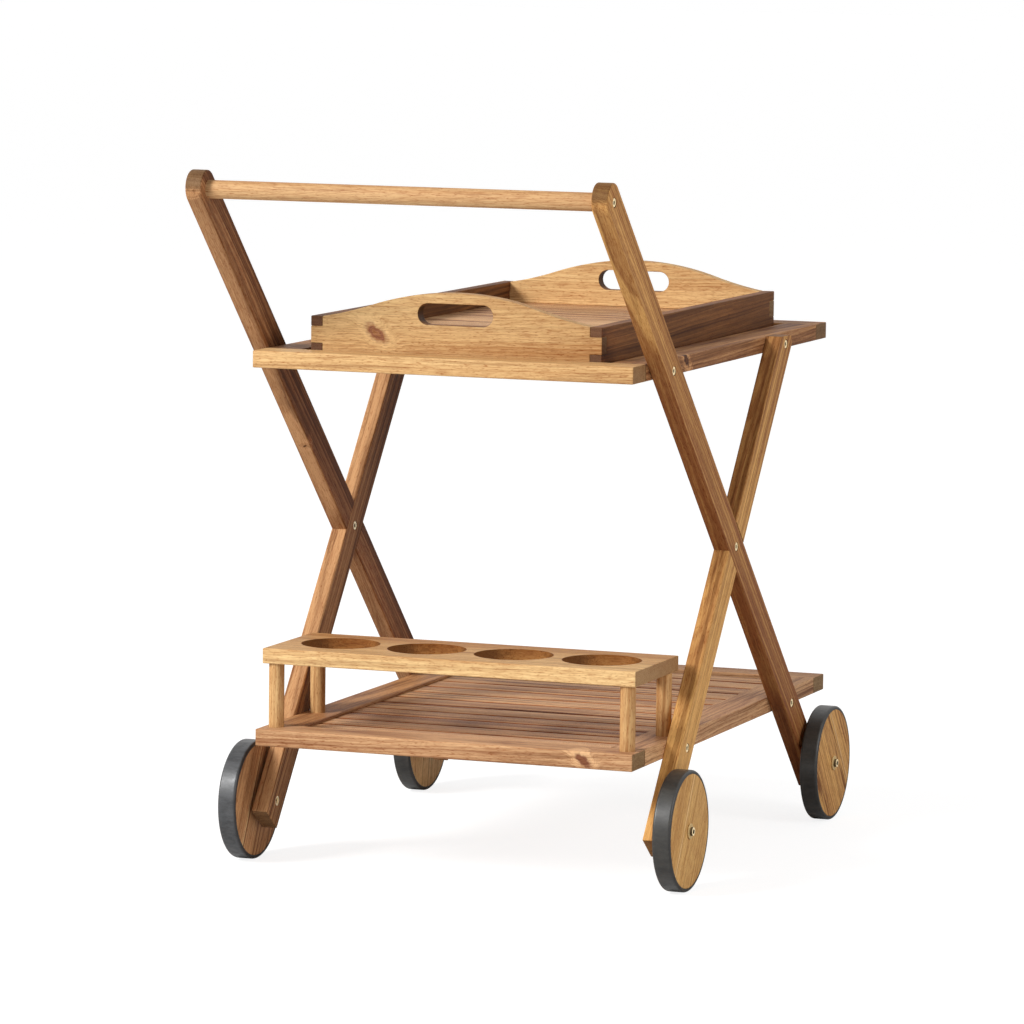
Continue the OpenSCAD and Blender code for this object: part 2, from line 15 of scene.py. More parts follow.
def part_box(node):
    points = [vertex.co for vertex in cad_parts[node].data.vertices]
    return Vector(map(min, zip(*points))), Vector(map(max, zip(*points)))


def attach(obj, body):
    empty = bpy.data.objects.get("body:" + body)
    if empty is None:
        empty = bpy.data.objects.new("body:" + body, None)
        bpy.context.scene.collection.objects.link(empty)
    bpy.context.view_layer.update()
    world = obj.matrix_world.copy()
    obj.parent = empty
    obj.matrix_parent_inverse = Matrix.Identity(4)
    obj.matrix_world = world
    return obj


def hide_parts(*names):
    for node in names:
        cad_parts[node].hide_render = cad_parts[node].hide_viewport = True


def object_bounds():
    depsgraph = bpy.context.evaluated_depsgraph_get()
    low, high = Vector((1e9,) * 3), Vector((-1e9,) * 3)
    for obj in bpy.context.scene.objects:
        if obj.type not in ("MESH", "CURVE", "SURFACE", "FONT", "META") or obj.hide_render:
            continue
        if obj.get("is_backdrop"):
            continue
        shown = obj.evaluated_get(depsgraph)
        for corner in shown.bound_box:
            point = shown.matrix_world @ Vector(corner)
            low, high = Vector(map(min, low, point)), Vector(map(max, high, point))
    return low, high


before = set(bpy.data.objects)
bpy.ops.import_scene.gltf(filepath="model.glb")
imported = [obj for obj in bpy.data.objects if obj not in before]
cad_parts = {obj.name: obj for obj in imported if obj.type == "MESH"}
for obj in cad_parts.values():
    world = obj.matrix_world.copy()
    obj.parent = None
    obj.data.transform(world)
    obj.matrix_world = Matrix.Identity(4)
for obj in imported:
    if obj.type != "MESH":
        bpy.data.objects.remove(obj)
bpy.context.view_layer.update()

# %% [markdown]
# ## The camera
# The photo looks down at the front right corner from far away through a long lens, so lines
# that run back stay nearly parallel. A camera can be placed by eye, but matching known corners
# of the cart to the photo gives its place, turn, tilt and lens as numbers. Those are used here.

# %% Camera
TURN, TILT, ROLL = math.radians(20.554), math.radians(6.497), math.radians(0.675)
CAMERA_AT = (2.4622, -6.6254, 1.2283)
LENS_MM = 199.74


def add_object(name, data):
    """Put an object into the scene, at the origin."""
    made = bpy.data.objects.new(name, data)
    bpy.context.scene.collection.objects.link(made)
    return made


ahead = Vector((-math.sin(TURN) * math.cos(TILT), math.cos(TURN) * math.cos(TILT), -math.sin(TILT)))
level = Vector((math.cos(TURN), math.sin(TURN), 0))
above = level.cross(ahead)
right = math.cos(ROLL) * level + math.sin(ROLL) * above
up = math.cos(ROLL) * above - math.sin(ROLL) * level

camera = add_object("photo_camera", bpy.data.cameras.new("photo_camera"))
camera.data.lens = LENS_MM
camera.matrix_world = Matrix((right, up, -ahead)).transposed().to_4x4()
camera.location = CAMERA_AT
bpy.context.scene.camera = camera
print("camera", [round(v, 2) for v in camera.location], "lens", LENS_MM, "mm")

# %% [markdown]
# ## Colours and nodes
# Wood and rubber colours are easiest to note down as hex, the way a paint chart gives them.
# Blender mixes light in linear values, so one function turns hex to linear. Another adds a
# node: its kind, what goes into its sockets, and its settings. A socket goes by its name or its
# number; a Mix node for colours has its factor at 0 and its two colours at 6 and 7.

# %% Colour and node helpers
def paint(code):
    """The linear colour of an sRGB hex code."""
    values = [int(code[i:i + 2], 16) / 255 for i in (1, 3, 5)]
    return tuple(v / 12.92 if v < 0.04045 else ((v + 0.055) / 1.055) ** 2.4 for v in values) + (1,)


def plug(node, inputs):
    """Set a node's sockets to numbers or colours, or link them to other nodes or their outputs."""
    for key, value in inputs.items():
        if isinstance(value, bpy.types.Node):
            value = next(s for s in value.outputs if s.enabled)
        if isinstance(value, bpy.types.NodeSocket):
            node.id_data.links.new(value, node.inputs[key])
        else:
            node.inputs[key].default_value = value


def add(tree, kind, inputs=None, **settings):
    """Add a node to a tree, with its settings and links."""
    node = tree.nodes.new(kind)
    for name, value in settings.items():
        setattr(node, name, value)
    plug(node, inputs or {})
    return node


def new_material(name):
    """A new material, its node tree and its shader."""
    made = bpy.data.materials.new(name)
    made.use_nodes = True
    return made, made.node_tree, made.node_tree.nodes["Principled BSDF"]


WHITE = paint("#FFFFFF")
print("helpers ready; linear value of mid grey #808080:", round(paint("#808080")[0], 3))

# %% [markdown]
# ## Oiled acacia
# A board is a slice through a stack of growth rings, so its face grain and its end grain are
# the same rings cut two ways. A flat picture can't do that; rings computed in 3-D can. We turn
# each board so that its grain runs along X, measure the distance from the pith, and colour
# by it. Wandering noise bends the rings, and tilting a board to the pith gives the long arches
# seen on flat-sawn wood. Acacia adds brown streaks, a strong change from pale sapwood to
# brown heartwood, and open pores that show as short dark dashes.
# The recipe is one node group, so that every board shares it and only the knobs differ.

# %% Acacia recipe and its knobs
grain = bpy.data.node_groups.new("acacia_grain", "ShaderNodeTree")
for name, kind in (
        ("Place", "Vector"),        # a point of the board, measured from the board's middle
        ("Facing", "Vector"),       # which way the surface looks there
        ("Board", "Float"),         # the board's number, which picks its stretch of the log
        ("Pith", "Vector"),         # a point on the middle line of the log
        ("Pale", "Color"),          # sapwood
        ("Brown", "Color"),         # heartwood
        ("Dark", "Color"),          # knots
        ("End", "Color"),           # end grain
        ("Heart", "Float"),         # share of heartwood
        ("Drift", "Vector"),        # how much that share grows in a metre, by direction
        ("Figure", "Float"),        # contrast of the rings
        ("Streaks", "Float"),       # strength of the streaks
        ("Luck", "Float"),          # how much the boards of a row differ in tone
        ("Seam", "Float"),          # where a glue line runs
        ("Sides", "Float"),         # painted shade on faces that look along Y, as in gaps between boards
        ("Knot", "Vector"),         # where a knot is
        ("Knot size", "Float")):    # its radius
    grain.interface.new_socket(name, in_out="INPUT", socket_type="NodeSocket" + kind)
for name, kind in (("Colour", "Color"), ("Roughness", "Float"), ("Height", "Float")):
    grain.interface.new_socket(name, in_out="OUTPUT", socket_type="NodeSocket" + kind)
knob = add(grain, "NodeGroupInput").outputs
print("acacia knobs:", [s.name for s in knob if s.name])

# %% [markdown]
# Each board gets its own stretch of the log: a random number from its board number slides the
# whole pattern far along the grain and a little sideways. Some boards are glued up from two;
# beyond the glue line the board number goes up by one, and the pattern starts anew.

# %% Own stretch of the log for each board
LOG = (3.0, 0.05, 0.03)             # metres of log that the boards are spread over
WANDER_MM = 9                       # how far the grain wanders sideways
BENDS_PER_M = (2.2, 13, 13)         # a bend is 450 mm long and 77 mm across
HALF = (0.5, 0.5, 0.5)              # the middle of what a noise gives

crosswise = add(grain, "ShaderNodeSeparateXYZ", {0: knob["Place"]}).outputs[2]
past_seam = add(grain, "ShaderNodeMath", {0: crosswise, 1: knob["Seam"]}, operation="GREATER_THAN")
board_number = add(grain, "ShaderNodeMath", {0: knob["Board"], 1: past_seam}, operation="ADD")
luck = add(grain, "ShaderNodeTexWhiteNoise", {"W": board_number}, noise_dimensions="1D").outputs
slide = add(grain, "ShaderNodeVectorMath", {0: luck["Color"], 1: LOG}, operation="MULTIPLY")
place = add(grain, "ShaderNodeVectorMath", {0: knob["Place"], 1: slide}, operation="ADD")
coarse = add(grain, "ShaderNodeVectorMath", {0: place, 1: BENDS_PER_M}, operation="MULTIPLY")
wander = add(grain, "ShaderNodeTexNoise", {"Vector": coarse, "Scale": 1.0, "Detail": 2.0})
wander = add(grain, "ShaderNodeVectorMath", {0: wander.outputs["Color"], 1: HALF}, operation="SUBTRACT")
sideways = (0, 2 * WANDER_MM / 1000, 2 * WANDER_MM / 1000)
bend = add(grain, "ShaderNodeVectorMath", {0: wander, 1: sideways}, operation="MULTIPLY")
bent = add(grain, "ShaderNodeVectorMath", {0: place, 1: bend}, operation="ADD")
print("grain wanders by", WANDER_MM, "mm")

# %% [markdown]
# A knot is a branch that the trunk grew round. It is never round itself: the distance to it is
# measured on a slant, and a fine noise frays its outline.

# %% Distance to the knot
FRAY_MM = 8                         # width of the frayed outline
NOTCHES_PER_M = 170                 # a notch is 6 mm long
SLANT = ((0.8, 0.0, 0.95), (0.0, 0.45, 0.0), (-0.42, 0.0, 0.4))

fray = add(grain, "ShaderNodeVectorMath", {0: knob["Place"], "Scale": NOTCHES_PER_M}, operation="SCALE")
fray = add(grain, "ShaderNodeTexNoise", {"Vector": fray, "Scale": 1.0, "Detail": 1.0})
fray = add(grain, "ShaderNodeVectorMath", {0: fray.outputs["Color"], 1: HALF}, operation="SUBTRACT")
fray = add(grain, "ShaderNodeVectorMath", {0: fray, "Scale": FRAY_MM / 1000}, operation="SCALE")
off_knot = add(grain, "ShaderNodeVectorMath", {0: knob["Place"], 1: knob["Knot"]}, operation="SUBTRACT")
off_knot = add(grain, "ShaderNodeVectorMath", {0: off_knot, 1: fray}, operation="ADD")
slanted = [add(grain, "ShaderNodeVectorMath", {0: off_knot, 1: way}, operation="DOT_PRODUCT")
           for way in SLANT]
slanted = add(grain, "ShaderNodeCombineXYZ", {i: node.outputs["Value"] for i, node in enumerate(slanted)})
knot_far = add(grain, "ShaderNodeVectorMath", {0: slanted}, operation="LENGTH").outputs["Value"]
knot_at = add(grain, "ShaderNodeMath", {0: knot_far, 1: knob["Knot size"]}, operation="DIVIDE")
print("knots are frayed over", FRAY_MM, "mm")

# %% [markdown]
# Near a knot the rings bow outwards and stand out more. The wood round it is stained, and
# inside it runs small rings of its own. Each of these is strongest at the knot and fades out
# over its own distance, given in knot radii, or in metres where all knots do the same.

# %% What a knot does around it
KNOT_BOW_MM = 14                    # how far the rings bow outwards

knot_bow = add(grain, "ShaderNodeMapRange", {"Value": knot_at, "From Min": 0.6, "From Max": 3.5,
               "To Min": KNOT_BOW_MM / 1000, "To Max": 0.0}, interpolation_type="SMOOTHSTEP")
in_knot = add(grain, "ShaderNodeMapRange", {"Value": knot_at, "From Min": 1.25, "From Max": 0.75},
              interpolation_type="SMOOTHSTEP")
stained = add(grain, "ShaderNodeMapRange", {"Value": knot_at, "From Min": 1.6, "From Max": 1.0},
              interpolation_type="SMOOTHSTEP")
past_knot = add(grain, "ShaderNodeMath", {0: knot_far, 1: knob["Knot size"]}, operation="SUBTRACT")
near_knot = add(grain, "ShaderNodeMapRange", {"Value": past_knot, "From Min": 0.012, "From Max": 0.001},
                interpolation_type="SMOOTHSTEP")
print("knots bow the rings by", KNOT_BOW_MM, "mm")

# %% [markdown]
# The rings themselves: distance from the pith drives one-dimensional noise, so all points of
# one year share a tone, and neighbouring years differ by chance, as in a real log.

# %% Rings
RING_MM = 3.2                       # one year's growth
ZONE_MM = 26                        # a run of years that grew alike

across = add(grain, "ShaderNodeVectorMath", {0: bent, 1: knob["Pith"]}, operation="SUBTRACT")
across = add(grain, "ShaderNodeVectorMath", {0: across, 1: (0, 1, 1)}, operation="MULTIPLY")
radius = add(grain, "ShaderNodeVectorMath", {0: across}, operation="LENGTH").outputs["Value"]
radius = add(grain, "ShaderNodeMath", {0: radius, 1: knot_bow}, operation="ADD")
years = add(grain, "ShaderNodeMath", {0: radius, 1: 1000 / RING_MM}, operation="MULTIPLY")
rings = add(grain, "ShaderNodeTexNoise", {"W": years, "Scale": 1.0, "Detail": 3.0, "Roughness": 0.6},
            noise_dimensions="1D")
age = add(grain, "ShaderNodeMath", {0: radius, 1: 1000 / ZONE_MM}, operation="MULTIPLY")
zones = add(grain, "ShaderNodeTexNoise", {"W": age, "Scale": 1.0, "Detail": 1.0}, noise_dimensions="1D")
figure = add(grain, "ShaderNodeMath", {0: rings, 1: zones}, operation="ADD")
figure = add(grain, "ShaderNodeMath", {0: figure, 1: -1.0}, operation="ADD")
contrast = add(grain, "ShaderNodeMath", {0: near_knot, 1: 0.5, 2: knob["Figure"]}, operation="MULTIPLY_ADD")
figure = add(grain, "ShaderNodeMath", {0: figure, 1: contrast}, operation="MULTIPLY")
print("one ring each", RING_MM, "mm")

# %% [markdown]
# Streaks, fibres and pores are noises too, each stretched along the grain: nearly a metre long
# and 7 mm wide for a streak, a short dash for a pore.

# %% Streaks, fibres and pores
STREAKS_PER_M = (1.2, 150, 150)     # a streak is 830 mm long and 7 mm wide
FIBRE_MM = 1.1                      # fibre bundles are finer; drawn as coarse as the picture can show
PORE_MM = 0.9                       # width of a pore's dash, drawn about three times too wide to show
FIBRES_PER_M = (55, 1000 / FIBRE_MM, 1000 / FIBRE_MM)       # 18 mm long
PORES_PER_M = (200, 1000 / PORE_MM, 1000 / PORE_MM)         # 5 mm long

streaks = add(grain, "ShaderNodeVectorMath", {0: bent, 1: STREAKS_PER_M}, operation="MULTIPLY")
streaks = add(grain, "ShaderNodeTexNoise", {"Vector": streaks, "Scale": 1.0, "Detail": 3.0, "Roughness": 0.6})
fibres = add(grain, "ShaderNodeVectorMath", {0: bent, 1: FIBRES_PER_M}, operation="MULTIPLY")
fibres = add(grain, "ShaderNodeTexNoise", {"Vector": fibres, "Scale": 1.0, "Detail": 2.0})
pores = add(grain, "ShaderNodeVectorMath", {0: bent, 1: PORES_PER_M}, operation="MULTIPLY")
pores = add(grain, "ShaderNodeTexNoise", {"Vector": pores, "Scale": 1.0, "Detail": 0.0})
pores = add(grain, "ShaderNodeMapRange", {"Value": pores, "From Min": 0.62, "From Max": 0.76})
print("pores up to", PORE_MM, "mm wide")

# %% [markdown]
# Now the colours. The Heart knob, shifted by rings, soft patches and the board's luck, mixes
# pale and brown. Each shift has a share, and what a noise gives on average is taken off again,
# so that the Heart knob alone sets the middle tone.

# %% Sapwood and heartwood
PATCHES_PER_M = (3, 30, 30)         # a soft patch is 330 mm long and 33 mm wide

patches = add(grain, "ShaderNodeVectorMath", {0: bent, 1: PATCHES_PER_M}, operation="MULTIPLY")
patches = add(grain, "ShaderNodeTexNoise", {"Vector": patches, "Scale": 1.0, "Detail": 2.0})
by_luck = add(grain, "ShaderNodeMath", {0: luck["Value"], 1: -0.5}, operation="ADD")
by_luck = add(grain, "ShaderNodeMath", {0: by_luck, 1: knob["Luck"]}, operation="MULTIPLY")
drifted = add(grain, "ShaderNodeVectorMath", {0: knob["Place"], 1: knob["Drift"]},
              operation="DOT_PRODUCT").outputs["Value"]
tone = add(grain, "ShaderNodeMath", {0: drifted, 1: knob["Heart"]}, operation="ADD")
tone = add(grain, "ShaderNodeMath", {0: near_knot, 1: -0.8, 2: tone}, operation="MULTIPLY_ADD")
for source, share, average in ((figure, 2.4, 0.0), (patches, 1.1, 0.5), (by_luck, 1.0, 0.0)):
    tone = add(grain, "ShaderNodeMath", {0: source, 1: share, 2: tone}, operation="MULTIPLY_ADD")
    tone = add(grain, "ShaderNodeMath", {0: tone, 1: share * average}, operation="SUBTRACT")
tone.use_clamp = True
wood = add(grain, "ShaderNodeMix", {0: tone, 6: knob["Pale"], 7: knob["Brown"]}, data_type="RGBA")
print("wood so far:", len(grain.nodes), "nodes")

# %% [markdown]
# Brown streaks darken that mix and pale ones lighten it. The knot with its stain goes over
# them, and then the glue line, a thin pale stripe.

# %% Streaks, knot and glue line
STREAK_SHADE = "#907058"
GLUE = "#F2D09A"
GLUE_HALF_WIDTH = 0.0016            # metres, several times too wide, so that it shows
KNOT_RING_MM = 1.8

for first, full, colour, blend, share in ((0.54, 0.63, paint(STREAK_SHADE), "MULTIPLY", 1.0),
                                          (0.46, 0.38, knob["Pale"], "MIX", 0.7)):
    streaky = add(grain, "ShaderNodeMapRange", {"Value": streaks, "From Min": first, "From Max": full,
                  "To Max": share})
    streaky = add(grain, "ShaderNodeMath", {0: streaky, 1: knob["Streaks"]}, operation="MULTIPLY")
    wood = add(grain, "ShaderNodeMix", {0: streaky, 6: wood, 7: colour}, data_type="RGBA", blend_type=blend)
small = add(grain, "ShaderNodeMath", {0: knot_far, 1: 1000 / KNOT_RING_MM}, operation="MULTIPLY")
small = add(grain, "ShaderNodeTexNoise", {"W": small, "Scale": 1.0, "Detail": 1.0}, noise_dimensions="1D")
small = add(grain, "ShaderNodeMapRange", {"Value": small, "From Min": 0.4, "From Max": 0.56, "To Max": 0.9})
knot_tone = add(grain, "ShaderNodeMix", {0: small, 6: knob["Dark"], 7: knob["Brown"]}, data_type="RGBA")
wood = add(grain, "ShaderNodeMix", {0: in_knot, 6: wood, 7: knot_tone}, data_type="RGBA")
stain = add(grain, "ShaderNodeMath", {0: stained, 1: 0.35}, operation="MULTIPLY")
wood = add(grain, "ShaderNodeMix", {0: stain, 6: wood, 7: knob["Dark"]}, data_type="RGBA")
glued = add(grain, "ShaderNodeMath", {0: crosswise, 1: knob["Seam"], 2: GLUE_HALF_WIDTH}, operation="COMPARE")
glued = add(grain, "ShaderNodeMath", {0: glued, 1: 0.6}, operation="MULTIPLY")
wood = add(grain, "ShaderNodeMix", {0: glued, 6: wood, 7: paint(GLUE)}, data_type="RGBA")
print("wood so far:", len(grain.nodes), "nodes")

# %% [markdown]
# The end grain drinks more oil, so the more a face looks along the grain, the darker it is.
# Fibres, rings and pores then shade the wood with a warm brown, because oiled wood turns redder
# where it turns darker; the Sides knob adds painted shade in the same brown on faces that look
# along Y. Last come roughness and height: fibres stand up, pores are pits.

# %% End grain, shade, roughness and height
WARM_SHADE = "#AC7648"

facing = add(grain, "ShaderNodeVectorMath", {0: knob["Facing"]}, operation="ABSOLUTE")
facing = add(grain, "ShaderNodeSeparateXYZ", {0: facing}).outputs
end_share = add(grain, "ShaderNodeMapRange", {"Value": facing[0], "From Min": 0.5, "From Max": 0.85,
                "To Max": 0.8}, interpolation_type="SMOOTHSTEP")
wood = add(grain, "ShaderNodeMix", {0: end_share, 6: wood, 7: knob["End"]}, data_type="RGBA")
# painted shade: darkens faces that look along Y, as much as the Sides knob says
shade_along_y = add(grain, "ShaderNodeMapRange", {"Value": facing[1], "From Min": 0.25, "From Max": 0.65})
shade = add(grain, "ShaderNodeMapRange", {"Value": fibres, "From Min": 0.61, "From Max": 0.33,
            "To Max": 0.46})
for source, share in ((figure, 0.8), (pores, 0.4), (shade_along_y, knob["Sides"])):
    shade = add(grain, "ShaderNodeMath", {0: source, 1: share, 2: shade}, operation="MULTIPLY_ADD")
shade.use_clamp = True
warm = add(grain, "ShaderNodeMix", {0: shade, 6: WHITE, 7: paint(WARM_SHADE)}, data_type="RGBA")
wood = add(grain, "ShaderNodeMix", {0: 1.0, 6: wood, 7: warm}, data_type="RGBA", blend_type="MULTIPLY")
rough = add(grain, "ShaderNodeMath", {0: fibres, 1: 0.2, 2: 0.45}, operation="MULTIPLY_ADD")
height = add(grain, "ShaderNodeMath", {0: pores, 1: -0.6, 2: fibres}, operation="MULTIPLY_ADD")
add(grain, "NodeGroupOutput", {"Colour": wood, "Roughness": rough, "Height": height})
print("acacia recipe:", len(grain.nodes), "nodes")

# %% [markdown]
# No two boards of a cart come from one tree, so there is a small chart of tones. Each has the
# pale and the brown of the mix, the dark of its knots and its end grain.

# %% Tones
TONES = {
    # name: pale, brown, dark of knots, end grain
    "golden": ("#E8C48C", "#BA8854", "#92604C", "#7E5F42"),
    "blond": ("#E0BE8E", "#BA8858", "#94684E", "#80603F"),
    "honey": ("#DCAA66", "#8E5A34", "#54301E", "#644628"),
    "pink": ("#DEB284", "#8A5838", "#7C4E3A", "#75603F"),
    "russet": ("#CE9A68", "#70462A", "#40261A", "#665036"),
    "umber": ("#C8986A", "#734C2D", "#3A2618", "#6A5238"),
    "amber": ("#E2B876", "#B8864A", "#8C5848", "#7E5F42"),
    "walnut": ("#A06C3E", "#58371F", "#2C190E", "#785A46"),
}
print("tones:", list(TONES))

# %% [markdown]
# A finish is the recipe plus a placement: which way the board's grain runs, where its middle
# is, and how it is tilted to the log. The legs lean in the plane of the cart's side, so their
# grain direction is an angle in that plane; 0 is level along the cart, 90 is upright.

# %% From recipe to finish
BUMP_MM = 0.08                      # depth of the pores
NOWHERE = 9.0                       # metres; the glue line or knot of a board that has none


def middle_of(node):
    """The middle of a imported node."""
    low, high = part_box(node)
    return (low + high) / 2


def acacia(node, along, tone, heart, figure, streaks, tilt=(0.02, 0.01), pith=(0, 0.02, -0.06), board=0.0,
           board_from=None, drift=(0, 0, 0), luck=0.3, seam=NOWHERE, sides=0.0, knot=None, knot_size=0.01,
           end=None):
    """Acacia, planed and oiled: a low sheen, since the film of oil is broken up by open pores. The grain
    runs along X, or at the angle 'along' in the plane of the cart's side."""
    made, tree, shader = new_material("oiled_acacia_" + node)
    middle = middle_of(node)
    turn = Matrix.Identity(3)
    if along is not None:
        turn = Matrix.Rotation(-math.pi / 2, 3, "Z") @ Matrix.Rotation(-math.radians(along), 3, "X")
    turn = Matrix.Rotation(tilt[1], 3, "Z") @ Matrix.Rotation(tilt[0], 3, "Y") @ turn
    spin = turn.to_euler("XYZ")
    seen = add(tree, "ShaderNodeTexCoord").outputs
    placed = add(tree, "ShaderNodeMapping", {"Vector": seen["Object"], "Rotation": spin,
                 "Location": -(turn @ middle)})
    facing = add(tree, "ShaderNodeMapping", {"Vector": seen["Normal"], "Rotation": spin},
                 vector_type="NORMAL")
    if board_from:
        board = add(tree, "ShaderNodeAttribute", attribute_name=board_from).outputs["Fac"]
    inputs = {"Place": placed, "Facing": facing, "Board": board, "Pith": pith, "Heart": heart,
              "Drift": drift, "Figure": figure, "Streaks": streaks, "Luck": luck, "Seam": seam,
              "Sides": sides, "Knot": turn @ (Vector(knot) - middle) if knot else (NOWHERE, 0, 0),
              "Knot size": knot_size}
    for key, code in zip(("Pale", "Brown", "Dark", "End"), TONES[tone]):
        inputs[key] = paint(code)
    if end:
        inputs["End"] = paint(end)
    wood = add(tree, "ShaderNodeGroup", inputs, node_tree=grain).outputs
    bump = add(tree, "ShaderNodeBump", {"Height": wood["Height"], "Distance": BUMP_MM / 1000,
               "Strength": 0.6})
    plug(shader, {"Base Color": wood["Colour"], "Roughness": wood["Roughness"], "Normal": bump,
                  "IOR": 1.47, "Specular IOR Level": 0.1})
    return made


print("a finish bumps the surface by", BUMP_MM, "mm")

# %% [markdown]
# ## Eased edges
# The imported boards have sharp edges. On the real cart a sander has taken the sharpness off, and
# that thin rounded line catches the light and leaves a fine groove where two boards meet. We
# copy each packed board, merge it into clean faces and round its edges; the copy stands for the
# board. The short edges round a bolt's seat stay as they are.

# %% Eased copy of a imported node
FLAT, SHARP = math.radians(1), math.radians(30)
SAME_PLACE = 0.00001
LEG_EASE = 0.0012


def eased_copy(node, radius, body, material, shortest=0.0):
    """Round the sharp edges longer than 'shortest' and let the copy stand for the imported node."""
    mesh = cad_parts[node].data.copy()
    mesh.name = node + "_eased"
    shape = bmesh.new()
    shape.from_mesh(mesh)
    bmesh.ops.remove_doubles(shape, verts=shape.verts, dist=SAME_PLACE)
    bmesh.ops.dissolve_limit(shape, angle_limit=FLAT, verts=shape.verts, edges=shape.edges)
    sharp = [e for e in shape.edges
             if len(e.link_faces) == 2 and e.calc_face_angle() > SHARP and e.calc_length() > shortest]
    bmesh.ops.bevel(shape, geom=sharp, offset=radius, offset_type="OFFSET", segments=2, profile=0.5,
                    affect="EDGES", clamp_overlap=True)
    bmesh.ops.recalc_face_normals(shape, faces=shape.faces)
    shape.to_mesh(mesh)
    shape.free()
    for face in mesh.polygons:
        face.use_smooth = False
    mesh.materials.clear()
    mesh.materials.append(material)
    piece = add_object(node + "_eased", mesh)
    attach(piece, body)
    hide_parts(node)
    print(node, "has", len(mesh.polygons), "faces and edges eased by", round(radius * 1000, 1), "mm")


print("the edges of boards are eased by", LEG_EASE * 1000, "mm")

# %% [markdown]
# ## Legs
# The maker picks the straightest boards for the legs. They are the reddest wood on the cart,
# with dark streaks all along. Their tone drifts along and across each board, which darkens the
# inner faces of the left legs, and the Sides knob lays painted shade on the long legs' broad faces.

# %% Legs
LONG_LEAN, SHORT_LEAN = 136.2, 52.0
LEGS = {
    # node: lean, tone, heart, (drift along, through, across the leg), figure, streaks, sides, board, knot
    "long_leg_right": (LONG_LEAN, "honey", 0.78, (-0.6, 0, -3), 0.6, 0.3, 0.08, 3, None),
    "long_leg_left": (LONG_LEAN, "umber", 0.6, (0.1, -20, -20), 0.6, 0.5, 0.35, 8,
                      (-0.2513, -0.1235, 0.5062)),
    "short_leg_right": (SHORT_LEAN, "honey", 0.28, (1.7, 0, 3), 0.8, 0.5, 0.0, 5, None),
    "short_leg_left": (SHORT_LEAN, "umber", 0.7, (0.7, -14, -8), 0.7, 0.7, 0.0, 9, None),
}
for node, (lean, tone_name, heart, drift, contrast, streaky, sides, board, knot) in LEGS.items():
    wood = acacia(node, lean, tone_name, heart, contrast, streaky, tilt=(0.012, 0.010), board=board,
                  drift=drift, sides=sides, knot=knot, knot_size=0.0014)
    eased_copy(node, LEG_EASE, "cart", wood, shortest=LEG_EASE)
print("legs lean", LONG_LEAN, "and", SHORT_LEAN, "degrees")

# %% [markdown]
# ## Handle bar
# The bar is turned from a pale square, so its rings show as long soft flames. It has no edge
# to ease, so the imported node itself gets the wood.

# %% Handle bar
def finish_with(node, material):
    """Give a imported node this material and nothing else."""
    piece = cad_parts[node]
    piece.data.materials.clear()
    piece.data.materials.append(material)


finish_with("handle_bar", acacia("handle_bar", None, "blond", 0.55, 0.3, 0.25, tilt=(0.02, 0.03),
            pith=(0, 0.01, -0.03), board=2))
print("handle bar at", [round(v * 1000) for v in middle_of("handle_bar")], "mm")

# %% [markdown]
# ## Shelf frames
# Rails along the cart have their grain along Y; rails across it along X, so their end grain
# shows at the sides. Two rails carry a knot close to where the photo shows one.

# %% Rails
RAILS = {
    # node: grain along the cart, tone, heart, figure, streaks, board, knot
    "upper_front_rail": (None, "golden", 0.7, 0.3, 0.3, 20, None),
    "upper_back_rail": (None, "russet", 0.6, 0.4, 0.5, 21, None),
    "upper_side_rail_left": (0, "russet", 0.55, 0.5, 0.5, 22, None),
    "upper_side_rail_right": (0, "russet", 0.75, 0.5, 0.6, 23, (0.245, -0.115, 0.634)),
    "lower_front_rail": (None, "pink", 0.5, 0.4, 0.45, 24, (0.182, -0.2924, 0.163)),
    "lower_back_rail": (None, "pink", 0.4, 0.4, 0.5, 25, None),
    "lower_side_rail_left": (0, "russet", 0.5, 0.5, 0.6, 26, None),
    "lower_side_rail_right": (0, "pink", 0.55, 0.5, 0.6, 27, None),
}
for node, (along, tone_name, heart, contrast, streaky, board, knot) in RAILS.items():
    wood = acacia(node, along, tone_name, heart, contrast, streaky, board=board, knot=knot, knot_size=0.006)
    eased_copy(node, LEG_EASE, "cart", wood, shortest=LEG_EASE)
print("rails:", len(RAILS))

# %% [markdown]
# ## Bottle rack
# The rack's board is as pale as the front rail above it, and so are its four dowels. The
# walls of its holes get a painted shade, for the shadow inside them. A small function lays
# this painted shade over all that lies near a hole's axis.

